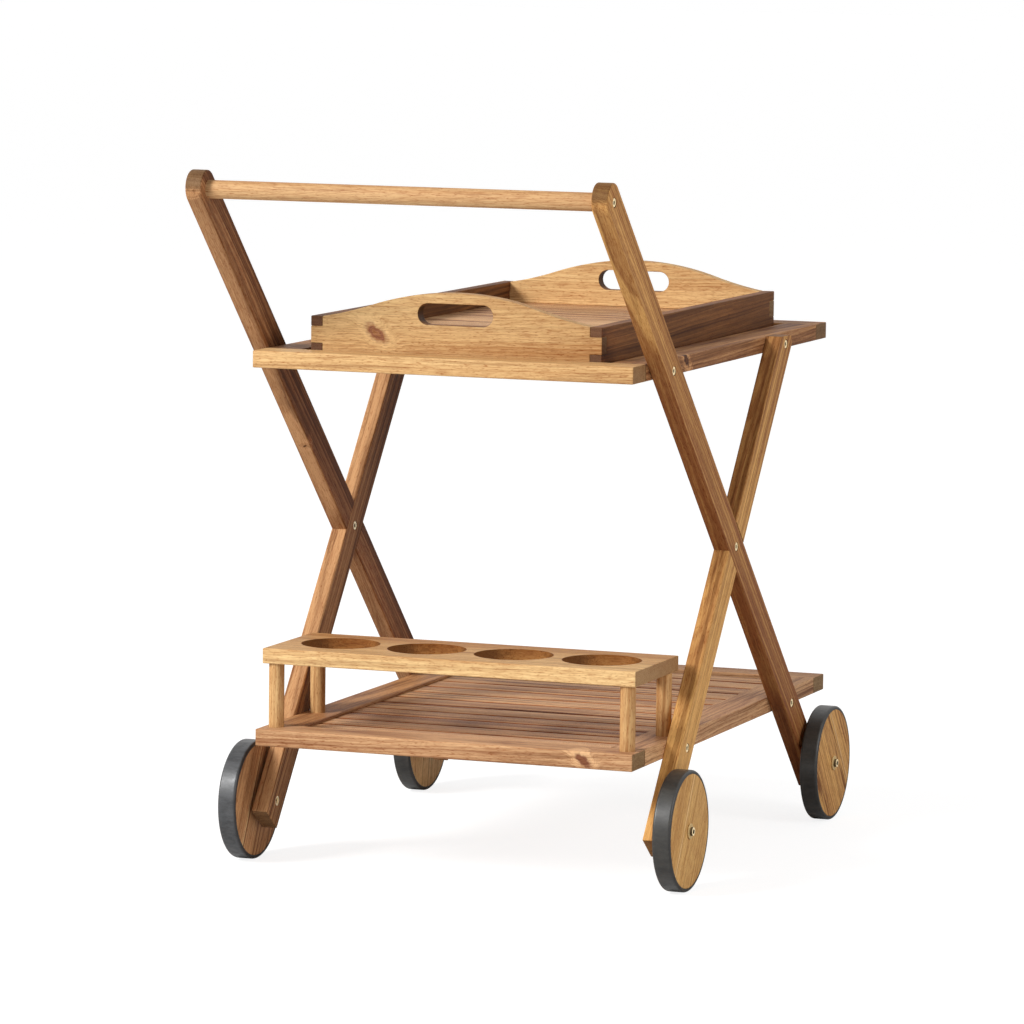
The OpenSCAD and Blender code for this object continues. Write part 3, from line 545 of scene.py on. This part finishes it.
# %% Shade for the walls of holes
def shade_holes(material, middle, flat, stops, radius, code, reach=0.0):
    """Lay a painted shade, for the shadow inside holes, on all within 'radius' of the holes' axes. 'flat'
    names the two directions that the holes are round in; the axes stand at 'stops' along the first,
    and 'reach' draws each out to a slot."""
    tree = material.node_tree
    shader = tree.nodes["Principled BSDF"]
    seen = add(tree, "ShaderNodeTexCoord").outputs
    at = add(tree, "ShaderNodeVectorMath", {0: seen["Object"], 1: middle}, operation="SUBTRACT")
    at = add(tree, "ShaderNodeSeparateXYZ", {0: at}).outputs
    nearest = 1.0
    for stop in stops:
        off = add(tree, "ShaderNodeMath", {0: at[flat[0]], 1: stop}, operation="SUBTRACT")
        off = add(tree, "ShaderNodeMath", {0: off}, operation="ABSOLUTE")
        nearest = add(tree, "ShaderNodeMath", {0: off, 1: nearest}, operation="MINIMUM")
    nearest = add(tree, "ShaderNodeMath", {0: nearest, 1: reach}, operation="SUBTRACT", use_clamp=True)
    from_axis = add(tree, "ShaderNodeCombineXYZ", {0: nearest, 1: at[flat[1]]})
    from_axis = add(tree, "ShaderNodeVectorMath", {0: from_axis}, operation="LENGTH").outputs["Value"]
    in_hole_shadow = add(tree, "ShaderNodeMath", {0: from_axis, 1: radius}, operation="LESS_THAN")
    colour = shader.inputs["Base Color"].links[0].from_socket
    shaded = add(tree, "ShaderNodeMix", {0: in_hole_shadow, 6: colour, 7: paint(code)}, data_type="RGBA",
                 blend_type="MULTIPLY")
    plug(shader, {"Base Color": shaded})


print("holes can be shaded")

# %% Rack board and dowels
HOLES, HOLE_PITCH, HOLE_RADIUS = 4, 0.114, 0.0485
PAST_WALL = 0.0006                  # the shade reaches this far into the wood
hole_stops = [(i - (HOLES - 1) / 2) * HOLE_PITCH for i in range(HOLES)]

wood = acacia("rack_board", None, "golden", 0.5, 0.25, 0.35, board=31, drift=(0, 5, 22), end="#94704C")
# painted shade on the walls of the rack's holes
shade_holes(wood, middle_of("rack_board"), (0, 1), hole_stops, HOLE_RADIUS + PAST_WALL, "#BCA388")
eased_copy("rack_board", LEG_EASE, "cart", wood, shortest=LEG_EASE)
finish_with("rack_dowels", acacia("rack_dowels", 90, "golden", 0.65, 0.4, 0.3, board=32))
print("rack holes at", [round(stop * 1000) for stop in hole_stops], "mm")

# %% [markdown]
# ## Slats and floor boards
# Thirteen slats fill each shelf and six boards the tray's floor. They could be copied by hand,
# but Geometry Nodes keep the rule instead of the copies: one eased board, repeated at a pitch.
# A line as long as the board carries a section with rounded corners.

# %% One eased board
row = bpy.data.node_groups.new("row_of_boards", "GeometryNodeTree")
row.interface.new_socket("Geometry", in_out="OUTPUT", socket_type="NodeSocketGeometry")
ROW_INPUTS = {}
for name, kind in (("Count", "Int"), ("Pitch", "Float"), ("Length", "Float"), ("Width", "Float"),
                   ("Thickness", "Float"), ("Ease", "Float"), ("Play", "Float"), ("First", "Vector"),
                   ("Seed", "Int"), ("Wood", "Material")):
    socket = row.interface.new_socket(name, in_out="INPUT", socket_type="NodeSocket" + kind)
    ROW_INPUTS[name] = socket.identifier
size = add(row, "NodeGroupInput").outputs
tips = [add(row, "ShaderNodeMath", {0: size["Length"], 1: side}, operation="MULTIPLY")
        for side in (-0.5, 0.5)]
tips = [add(row, "ShaderNodeCombineXYZ", {"X": tip}) for tip in tips]
line = add(row, "GeometryNodeCurvePrimitiveLine", {"Start": tips[0], "End": tips[1]})
line = add(row, "GeometryNodeSetCurveNormal", {"Curve": line}, mode="Z_UP")
section = add(row, "GeometryNodeCurvePrimitiveQuadrilateral", {"Width": size["Width"],
              "Height": size["Thickness"]})
section = add(row, "GeometryNodeFilletCurve", {"Curve": section, "Radius": size["Ease"], "Count": 3},
              mode="POLY")
board_mesh = add(row, "GeometryNodeCurveToMesh", {"Curve": line, "Profile Curve": section, "Fill Caps": True})
print("inputs of a row:", list(ROW_INPUTS))

# %% [markdown]
# The board is repeated at the points of a second line. Each one stores its number, so that the
# wood recipe can give it a tone of its own, and sits a little off its exact place, as boards in
# a groove do.

# %% Row of boards
step = add(row, "ShaderNodeCombineXYZ", {"Y": size["Pitch"]})
spots = add(row, "GeometryNodeMeshLine", {"Count": size["Count"], "Start Location": size["First"],
            "Offset": step})
minus_play = add(row, "ShaderNodeMath", {0: size["Play"], 1: -1.0}, operation="MULTIPLY")
shift = add(row, "FunctionNodeRandomValue", {2: minus_play, 3: size["Play"], "Seed": size["Seed"]},
            data_type="FLOAT")
shift = add(row, "ShaderNodeCombineXYZ", {"Y": shift.outputs[1]})
spots = add(row, "GeometryNodeSetPosition", {"Geometry": spots, "Offset": shift})
boards = add(row, "GeometryNodeInstanceOnPoints", {"Points": spots, "Instance": board_mesh})
index = add(row, "GeometryNodeInputIndex")
number = add(row, "ShaderNodeMath", {0: index, 1: size["Seed"]}, operation="ADD")
boards = add(row, "GeometryNodeStoreNamedAttribute", {"Geometry": boards, "Name": "board", "Value": number},
             data_type="FLOAT", domain="INSTANCE")
boards = add(row, "GeometryNodeRealizeInstances", {"Geometry": boards})
boards = add(row, "GeometryNodeSetMaterial", {"Geometry": boards, "Material": size["Wood"]})
add(row, "NodeGroupOutput", {"Geometry": boards})
print("row of boards:", len(row.nodes), "nodes")

# %% [markdown]
# The modifier is filled in by socket identifier, evaluated once, and the result kept as a plain
# mesh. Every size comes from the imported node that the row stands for.

# %% Grow and keep a tree's result
def grow(name, tree, inputs, values):
    """Run a tree with these values and keep its result as a piece with a plain mesh."""
    holder = add_object(name + "_grower", bpy.data.meshes.new(name + "_start"))
    modifier = holder.modifiers.new(name, "NODES")
    modifier.node_group = tree
    for key, value in values.items():
        modifier[inputs[key]] = value
    holder.update_tag()
    bpy.context.view_layer.update()
    graph = bpy.context.evaluated_depsgraph_get()
    mesh = bpy.data.meshes.new_from_object(holder.evaluated_get(graph), preserve_all_data_layers=True,
                                           depsgraph=graph)
    mesh.name = name
    bpy.data.objects.remove(holder)
    return add_object(name, mesh)


print("ready to grow", row.name)

# %% Slats of both shelves and boards of the tray's floor
ROWS = {
    # node: count, gap, ease and play in metres, tone, heart, figure, streaks, first board's number, body
    "upper_slats": (13, 0.0048, 0.0015, 0.0004, "pink", 0.4, 0.8, 1.0, 40, "cart"),
    "lower_slats": (13, 0.0048, 0.0015, 0.0004, "pink", 0.35, 0.8, 1.0, 60, "cart"),
    "tray_floor": (6, 0.0004, 0.0005, 0.0, "pink", 0.2, 1.2, 1.3, 80, "tray"),
}
for node, (count, gap, ease, play, tone_name, heart, contrast, streaky, number, body) in ROWS.items():
    low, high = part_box(node)
    width = (high.y - low.y - (count - 1) * gap) / count
    # sides=0.9 paints shade onto the edges, for the shadow in the gaps between boards
    wood = acacia(node, None, tone_name, heart, contrast, streaky, board_from="board", luck=0.9, sides=0.9)
    piece = grow(node + "_boards", row, ROW_INPUTS, {
        "Count": count, "Pitch": width + gap, "Length": high.x - low.x, "Width": width,
        "Thickness": high.z - low.z, "Ease": ease, "Play": play,
        "First": (0, low.y + width / 2, (low.z + high.z) / 2), "Seed": number, "Wood": wood})
    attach(piece, body)
    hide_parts(node)
    print(node, "->", len(piece.data.polygons), "faces, each board", round(width * 1000, 1), "mm wide")

# %% [markdown]
# ## Tray
# The tray's ends are pale boards, and their hand slots get the same painted shade as the rack's
# holes. Its sides are the darkest wood on the cart, painted a little paler towards the top, where
# the light falls. The boards are eased as the legs are, but less, since a tray is handled and
# finished more finely.

# %% Tray boards
TRAY = {
    # node: grain along the cart, tone, heart, figure, streaks, board, drift along, through and up, knot
    "tray_front_end": (None, "golden", 0.28, 0.35, 0.15, 50, (1.6, 0, 0), (-0.1025, -0.2614, 0.6630)),
    "tray_back_end": (None, "golden", 0.55, 0.45, 0.25, 51, (0, 0, 0), None),
    # the sides' drift up is painted light: darker downwards, paler towards the top
    "tray_side_left": (0, "walnut", 1.1, 0.5, 0.6, 52, (0, 0, -10), None),
    "tray_side_right": (0, "walnut", 0.75, 0.5, 0.4, 53, (0, 0, -8), None),
}
TRAY_EASE = 0.0009
SLOT_LENGTH, SLOT_HEIGHT, SLOT_UP = 0.097, 0.026, 0.0525
PAST_SLOT = 0.0003                  # the shade reaches this far into the wood
for node, (along, tone_name, heart, contrast, streaky, board, drift, knot) in TRAY.items():
    is_end = along is None
    wood = acacia(node, along, tone_name, heart, contrast, streaky, board=board, drift=drift, knot=knot,
                  knot_size=0.0085, end="#5E4630" if is_end else None)
    if is_end:
        slot_middle = Vector((0, 0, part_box(node)[0].z + SLOT_UP))
        # painted shade inside the hand slot
        shade_holes(wood, slot_middle, (0, 2), [0], SLOT_HEIGHT / 2 + PAST_SLOT, "#A88C70",
                    (SLOT_LENGTH - SLOT_HEIGHT) / 2)
    eased_copy(node, TRAY_EASE, "tray", wood)
print("hand slots:", SLOT_LENGTH * 1000, "by", SLOT_HEIGHT * 1000, "mm")

# %% [markdown]
# ## Wheel discs
# Each disc is turned from two boards glued side by side, and no two wheels were hung with
# their grain the same way up.

# %% Discs
DISCS = {
    # wheel: grain angle, tone, heart, figure, streaks, board, glue line's distance from the middle
    "front_left": (60, "umber", 0.3, 0.6, 0.5, 60, 0.02),
    "front_right": (57, "amber", 0.55, 0.4, 0.3, 61, 0.019),
    "rear_left": (80, "golden", 0.25, 0.5, 0.5, 64, -0.01),
    "rear_right": (125, "honey", 0.4, 0.7, 0.9, 66, -0.03),
}
for wheel, (along, tone_name, heart, contrast, streaky, board, seam) in DISCS.items():
    node = "wheel_disc_" + wheel
    finish_with(node, acacia(node, along, tone_name, heart, contrast, streaky, tilt=(0.05, 0.04),
                board=board, seam=seam))
print("discs:", len(DISCS))

# %% [markdown]
# ## Rubber
# The tyres are moulded rubber, dark grey rather than black. Their treads get grey patches of
# painted sheen, where they are a little shinier too, and their sides hardly any. The front left
# tyre gets a brighter painted sheen than the others, so there are two rubbers.

# %% Moulded rubber
SHEEN_PER_M = (40, 90, 90)           # patches of painted sheen are 25 mm across the tread and 11 mm round it
SKIN_PER_M = 1500                   # the mould leaves a grain of 0.7 mm
SKIN_DEPTH = 0.0001


def rubber(name, base_code, sheen_code):
    """Moulded rubber: nearly black, with broad dull highlights. A painted sheen makes the tread greyer, and
    it is a little shinier there.
    """
    made, tree, shader = new_material("moulded_rubber_" + name)
    seen = add(tree, "ShaderNodeTexCoord").outputs
    # film: patches of painted sheen, mostly on the tread
    film = add(tree, "ShaderNodeVectorMath", {0: seen["Object"], 1: SHEEN_PER_M}, operation="MULTIPLY")
    film = add(tree, "ShaderNodeTexNoise", {"Vector": film, "Scale": 1.0, "Detail": 5.0, "Roughness": 0.75})
    film = add(tree, "ShaderNodeMapRange", {"Value": film, "From Min": 0.25, "From Max": 0.75})
    tread = add(tree, "ShaderNodeSeparateXYZ", {0: seen["Normal"]})
    tread = add(tree, "ShaderNodeMath", {0: tread}, operation="ABSOLUTE")
    tread = add(tree, "ShaderNodeMapRange", {"Value": tread, "From Min": 0.9, "From Max": 0.4, "To Min": 0.1})
    film = add(tree, "ShaderNodeMath", {0: film, 1: tread}, operation="MULTIPLY")
    colour = add(tree, "ShaderNodeMix", {0: film, 6: paint(base_code), 7: paint(sheen_code)},
                 data_type="RGBA")
    skin = add(tree, "ShaderNodeTexNoise", {"Vector": seen["Object"], "Scale": SKIN_PER_M, "Detail": 1.0})
    bump = add(tree, "ShaderNodeBump", {"Height": skin, "Distance": SKIN_DEPTH, "Strength": 0.5})
    rough = add(tree, "ShaderNodeMath", {0: film, 1: -0.2, 2: 0.48}, operation="MULTIPLY_ADD")
    plug(shader, {"Base Color": colour, "Normal": bump, "Roughness": rough})
    return made


dim_sheen_rubber = rubber("dim_sheen", "#161513", "#403E3A")
bright_sheen_rubber = rubber("bright_sheen", "#1C1C1D", "#535456")
for wheel in DISCS:
    finish_with("tyre_" + wheel, bright_sheen_rubber if wheel == "front_left" else dim_sheen_rubber)
print("tyres:", len(DISCS))

# %% [markdown]
# ## Yellow-passivated steel
# Bolts, nuts and washers are zinc plated steel with a yellow passivation, which looks like
# pale brass with a slightly uneven sheen. Where the metal lies deeper than the heads' faces, in
# the sockets and sunk seats, and on the flanks of the axle bolts, it gets a painted shade for
# the shadow there.

# %% Passivated steel
STEEL_SHADE = "#3B3022"
SPOTS_PER_M = 220                   # the plating's tone changes every 4.5 mm
SHADE_START_DEPTH, SHADE_FULL_DEPTH = 0.0004, 0.0010       # metres below the face where the painted shade starts and is full


def passivated_steel(name, face_at=0.0, plating=("#F0D8A4", "#FFF2D2"), flank_shade=0.0):
    """Zinc plated steel, passivated yellow: a metal's bright highlights with a warm, slightly mottled
    tone. It gets a painted shade deeper than face_at metres from the cart's middle, and by flank_shade
    on flanks."""
    made, tree, shader = new_material("yellow_passivated_steel_" + name)
    seen = add(tree, "ShaderNodeTexCoord").outputs
    film = add(tree, "ShaderNodeTexNoise", {"Vector": seen["Object"], "Scale": SPOTS_PER_M, "Detail": 3.0})
    plated = add(tree, "ShaderNodeMix", {0: film, 6: paint(plating[0]), 7: paint(plating[1])},
                 data_type="RGBA")
    depth = add(tree, "ShaderNodeSeparateXYZ", {0: seen["Object"]})
    depth = add(tree, "ShaderNodeMath", {0: depth}, operation="ABSOLUTE")
    depth = add(tree, "ShaderNodeMapRange", {"Value": depth, "From Min": face_at - SHADE_START_DEPTH,
                "From Max": face_at - SHADE_FULL_DEPTH})
    flank = add(tree, "ShaderNodeSeparateXYZ", {0: seen["Normal"]})
    flank = add(tree, "ShaderNodeMath", {0: flank}, operation="ABSOLUTE")
    flank = add(tree, "ShaderNodeMapRange", {"Value": flank, "From Min": 0.6, "From Max": 0.2,
                "To Max": flank_shade})
    # painted shade: in sockets and sunk seats, and on the flanks
    shaded_metal = add(tree, "ShaderNodeMath", {0: depth, 1: flank}, operation="MAXIMUM")
    colour = add(tree, "ShaderNodeMix", {0: shaded_metal, 6: plated, 7: paint(STEEL_SHADE)}, data_type="RGBA")
    rough = add(tree, "ShaderNodeMath", {0: film, 1: 0.2, 2: 0.55}, operation="MULTIPLY_ADD")
    plug(shader, {"Base Color": colour, "Roughness": rough, "Metallic": 1.0})
    return made


plain_steel = passivated_steel("plain", plating=("#FFEFC4", "#FFF9E6"))
for node in ("threaded_inserts", "crossing_nuts", "axle_spacers", "axle_nuts"):
    finish_with(node, plain_steel)
print("plain steel on nuts, inserts and spacers")

# %% [markdown]
# The heads and washers are eased copies too: the small chamfer catches the light as a bright
# ring. The sockets of the axle bolts get the same painted shade as the rack's holes.

# %% Bolts and washers
METAL_EASE = 0.0004
SOCKET_RADIUS = 0.0030
axle_spots = [middle_of("wheel_disc_front_right"), middle_of("wheel_disc_rear_right")]
axle_steel = passivated_steel("axle_bolts", flank_shade=0.9)
# painted shade in the axle bolts' sockets
shade_holes(axle_steel, (0, 0, axle_spots[0].z), (1, 2), [spot.y for spot in axle_spots], SOCKET_RADIUS, STEEL_SHADE)
for node, metal in (("frame_bolts", passivated_steel("frame_bolts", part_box("frame_bolts")[1].x)),
                    ("axle_bolts", axle_steel),
                    ("axle_washers", passivated_steel("axle_washers", plating=("#BFA474", "#DCC08C")))):
    eased_copy(node, METAL_EASE, "cart", metal)
print("axles at", [round(spot.y * 1000) for spot in axle_spots], "mm")

# %% [markdown]
# ## Light and floor
# The photo is a catalogue picture: white all round, one large soft light from the upper front
# left, and so much bounced light that shadows stay faint. The world is white to the camera and
# in reflections, and gives the cart a weaker light.

# %% World
AMBIENT = 0.30
world = bpy.data.worlds.new("white_studio")
bpy.context.scene.world = world
world.use_nodes = True
sky = world.node_tree
sky.nodes.clear()
rays = add(sky, "ShaderNodeLightPath").outputs
seen_white = rays["Is Camera Ray"]
for ray in ("Is Glossy Ray", "Is Transmission Ray"):
    seen_white = add(sky, "ShaderNodeMath", {0: seen_white, 1: rays[ray]}, operation="MAXIMUM")
strength = add(sky, "ShaderNodeMapRange", {"Value": seen_white, "To Min": AMBIENT, "To Max": 1.0})
glow = add(sky, "ShaderNodeBackground", {"Color": WHITE, "Strength": strength})
add(sky, "ShaderNodeOutputWorld", {"Surface": glow})
print("world light:", AMBIENT)

# %% Lamps
CART_MIDDLE = Vector((0, 0, 0.45))


def soft_box(name, at, size, watts):
    """A square lamp of that size in metres, turned to the middle of the cart."""
    lamp = add_object(name, bpy.data.lights.new(name, "AREA"))
    lamp.data.shape = "SQUARE"
    lamp.data.size = size
    lamp.data.energy = watts
    lamp.location = at
    lamp.rotation_euler = (CART_MIDDLE - Vector(at)).to_track_quat("-Z", "Y").to_euler()


soft_box("key_softbox", (-3.9, -4.6, 4.0), 2.2, 520)
soft_box("side_softbox", (4.6, -1.0, 2.4), 2.0, 90)

# %% [markdown]
# The floor is a sheet of paper too large to show an end. It glows a little to the camera
# alone, which makes it white without lighting the cart, and its colour keeps the shadow.

# %% Floor
FLOOR_HALF = 40
FLOOR_GLOW = 0.84
floor = add_object("studio_floor", bpy.data.meshes.new("studio_floor"))
corners = [(x * FLOOR_HALF, y * FLOOR_HALF, 0) for x, y in ((-1, -1), (1, -1), (1, 1), (-1, 1))]
floor.data.from_pydata(corners, [], [(0, 1, 2, 3)])
# matt paper: no highlight, so nothing mirrors in it
paper, tree, shader = new_material("matt_white_paper")
to_camera = add(tree, "ShaderNodeLightPath").outputs["Is Camera Ray"]
sheet = add(tree, "ShaderNodeMix", {0: to_camera, 6: paint("#E6E6E6"), 7: paint("#8A8A8A")}, data_type="RGBA")
lift = add(tree, "ShaderNodeMath", {0: to_camera, 1: FLOOR_GLOW}, operation="MULTIPLY")
plug(shader, {"Base Color": sheet, "Roughness": 0.9, "Emission Color": WHITE, "Emission Strength": lift})
floor.data.materials.append(paper)
floor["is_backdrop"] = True
bpy.context.scene.view_settings.view_transform = "Standard"
print("floor:", 2 * FLOOR_HALF, "m wide")

# %% [markdown]
# ## Sizes
# The dressed cart has to be as large as the imported one; the size of its box is printed.

# %% Finish
low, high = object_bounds()
print("visual:", [round(v * 1000) for v in high - low], "mm")
